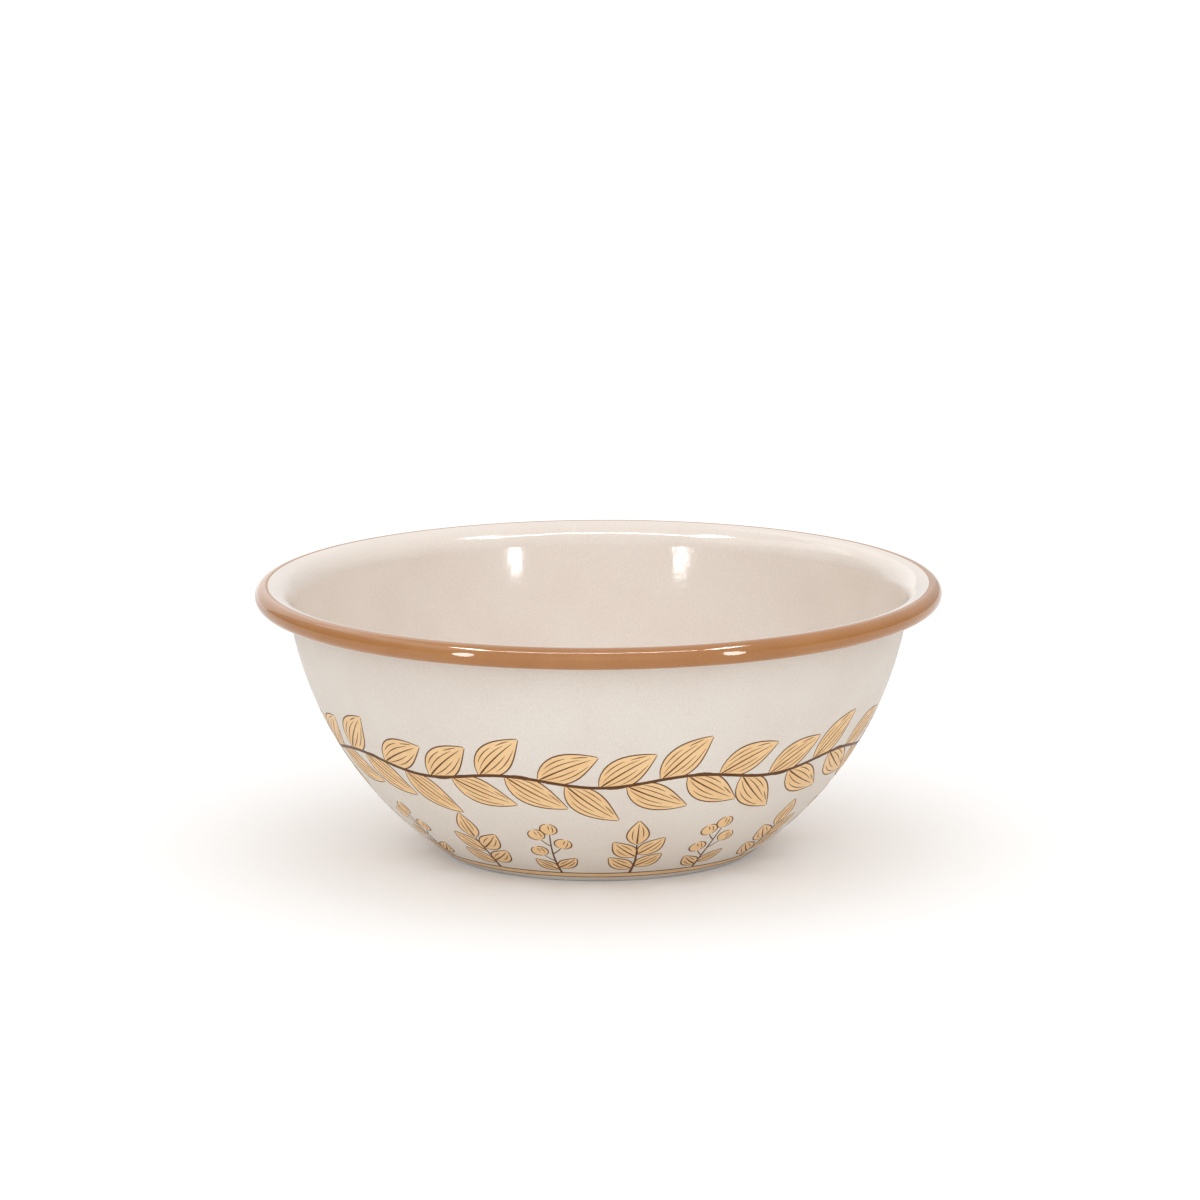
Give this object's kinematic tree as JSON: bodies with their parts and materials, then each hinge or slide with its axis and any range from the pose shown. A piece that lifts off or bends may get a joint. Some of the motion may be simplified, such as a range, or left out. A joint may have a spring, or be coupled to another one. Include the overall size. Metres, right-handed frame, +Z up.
{
  "type": "serving bowl",
  "caption": "Round enamelled steel serving bowl with curved sides, an outward rolled rim and a flat, slightly recessed base, for holding and serving food.",
  "frame": {"origin": "on the floor, under the middle of the bowl", "axes": "+Z up along the bowl's axis; the bowl is round, so +X and +Y are any two level directions at right angles"},
  "size_m": [0.24, 0.24, 0.095],
  "materials": {
    "steel": "satin",
    "ground_enamel": "gloss",
    "inside_enamel": "gloss",
    "outside_enamel": "gloss",
    "rim_enamel": "gloss",
    "print_fill": "gloss",
    "print_line": "gloss"
  },
  "bodies": {
    "root": {"steel_shell": "steel", "ground_coat_inside": "ground_enamel", "ground_coat_outside": "ground_enamel", "cover_coat_inside": "inside_enamel", "cover_coat_outside": "outside_enamel", "rim_band": "rim_enamel"}
  },
  "joints": []
}
